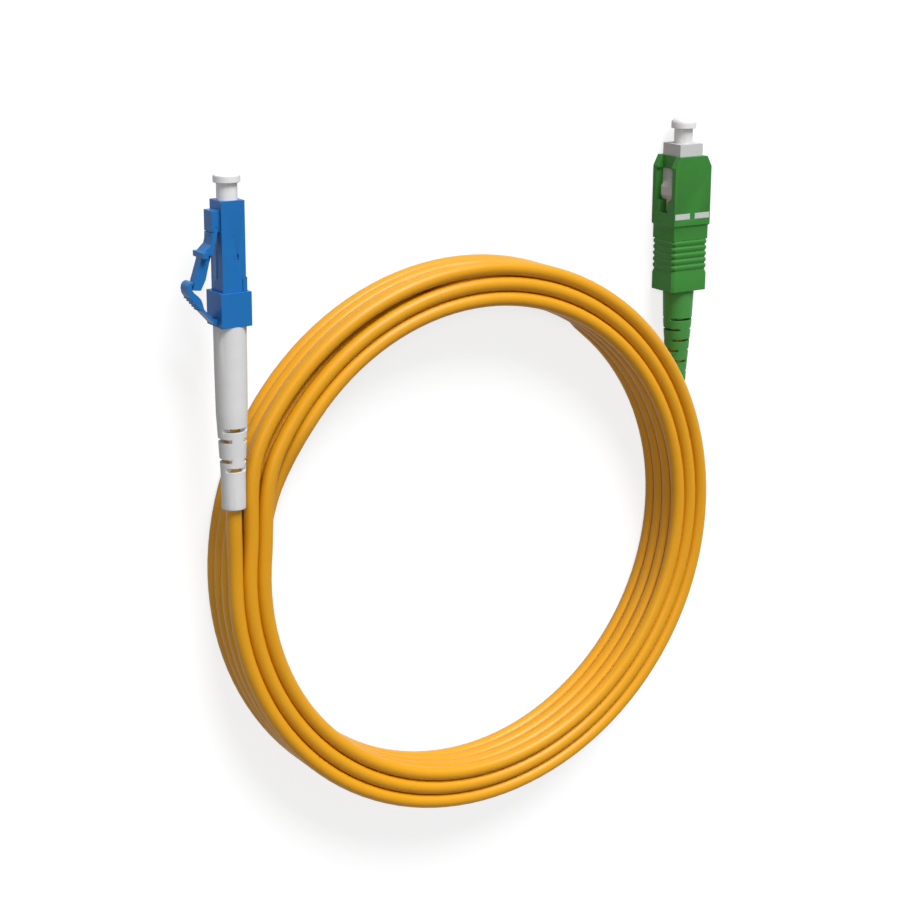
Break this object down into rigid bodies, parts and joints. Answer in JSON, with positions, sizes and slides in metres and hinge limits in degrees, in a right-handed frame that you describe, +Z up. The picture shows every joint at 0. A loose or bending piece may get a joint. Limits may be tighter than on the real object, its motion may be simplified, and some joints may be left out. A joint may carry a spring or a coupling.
{
  "type": "fiber optic patch cord",
  "caption": "Coiled simplex fiber optic patch cord with a latching LC plug at one end and a push-pull SC plug at the other, both under dust caps.",
  "frame": {"origin": "middle of the foot of the box round both plugs, at the level that the coil and the SC grip lie on", "axes": "+Y along both plugs towards their ferrules, +X from the LC plug to the SC plug, +Z up out of the surface that the coil lies on"},
  "size_m": [0.1176, 0.1329, 0.0136],
  "materials": {
    "cap_white": "satin",
    "boot_white": "satin",
    "lc_blue": "satin",
    "zirconia": "polished ceramic",
    "flange_brass": "machined",
    "spring_steel": "drawn wire",
    "guide_ptfe": "matt",
    "buffer": "matt",
    "backbone_grey": "satin",
    "aramid": "yarn",
    "crimp_metal": "plated",
    "frame_grey": "satin",
    "sc_green": "satin",
    "boot_green": "satin",
    "mark_white": "printed",
    "cord_jacket": "satin"
  },
  "bodies": {
    "cord_and_plugs": {"lc_housing": "lc_blue", "lc_clip_body": "lc_blue", "lc_backbone": "backbone_grey", "lc_yarn_collar": "aramid", "lc_crimp_sleeve": "crimp_metal", "lc_boot": "boot_white", "lc_spring": "spring_steel", "sc_plug_frame": "frame_grey", "sc_backbone": "backbone_grey", "sc_yarn_collar": "aramid", "sc_crimp_sleeve": "crimp_metal", "sc_boot": "boot_green", "sc_spring": "spring_steel", "cable_coil": "cord_jacket", "cable_lead_lc": "cord_jacket", "cable_lead_sc": "cord_jacket"},
    "lc_latch_lever": {"lc_latch": "lc_blue"},
    "lc_trigger_lever": {"lc_trigger": "lc_blue"},
    "lc_floating_ferrule": {"lc_ferrule": "zirconia", "lc_ferrule_flange": "flange_brass", "lc_guide_tube": "guide_ptfe", "lc_fiber_buffer": "buffer"},
    "lc_cap": {"lc_dust_cap": "cap_white"},
    "sc_outer_grip": {"sc_grip": "sc_green", "sc_index_bars": "mark_white"},
    "sc_floating_ferrule": {"sc_ferrule": "zirconia", "sc_ferrule_flange": "flange_brass", "sc_guide_tube": "guide_ptfe", "sc_fiber_buffer": "buffer"},
    "sc_cap": {"sc_dust_cap": "cap_white"}
  },
  "joints": [
    {"name": "lc_trigger_press", "type": "hinge", "parent": "cord_and_plugs", "child": "lc_trigger_lever", "pos_m": [-0.05307, 0.00285, 0.01061], "axis": [0, 0, -1], "range_deg": [0, 12], "stiffness_Nm_per_rad": 0.06},
    {"name": "lc_latch_press", "type": "hinge", "parent": "cord_and_plugs", "child": "lc_latch_lever", "pos_m": [-0.05322, 0.019, 0.01061], "axis": [0, 0, 1], "range_deg": [0, 13.5]},
    {"name": "lc_ferrule_float", "type": "slide", "parent": "cord_and_plugs", "child": "lc_floating_ferrule", "axis": [0, -1, 0], "range_m": [0, 0.001], "stiffness_N_per_m": 600, "deforming": ["lc_spring"]},
    {"name": "lc_cap_pull", "type": "slide", "parent": "cord_and_plugs", "child": "lc_cap", "axis": [0, 1, 0], "range_m": [0, 0.012]},
    {"name": "sc_grip_pull", "type": "slide", "parent": "cord_and_plugs", "child": "sc_outer_grip", "axis": [0, -1, 0], "range_m": [0, 0.0018]},
    {"name": "sc_ferrule_float", "type": "slide", "parent": "cord_and_plugs", "child": "sc_floating_ferrule", "axis": [0, -1, 0], "range_m": [0, 0.001], "stiffness_N_per_m": 900, "deforming": ["sc_spring"]},
    {"name": "sc_cap_pull", "type": "slide", "parent": "cord_and_plugs", "child": "sc_cap", "axis": [0, 1, 0], "range_m": [0, 0.012]}
  ],
  "couplings": [
    {"joint": "lc_latch_press", "follows": "lc_trigger_press", "ratio": 1.1}
  ]
}
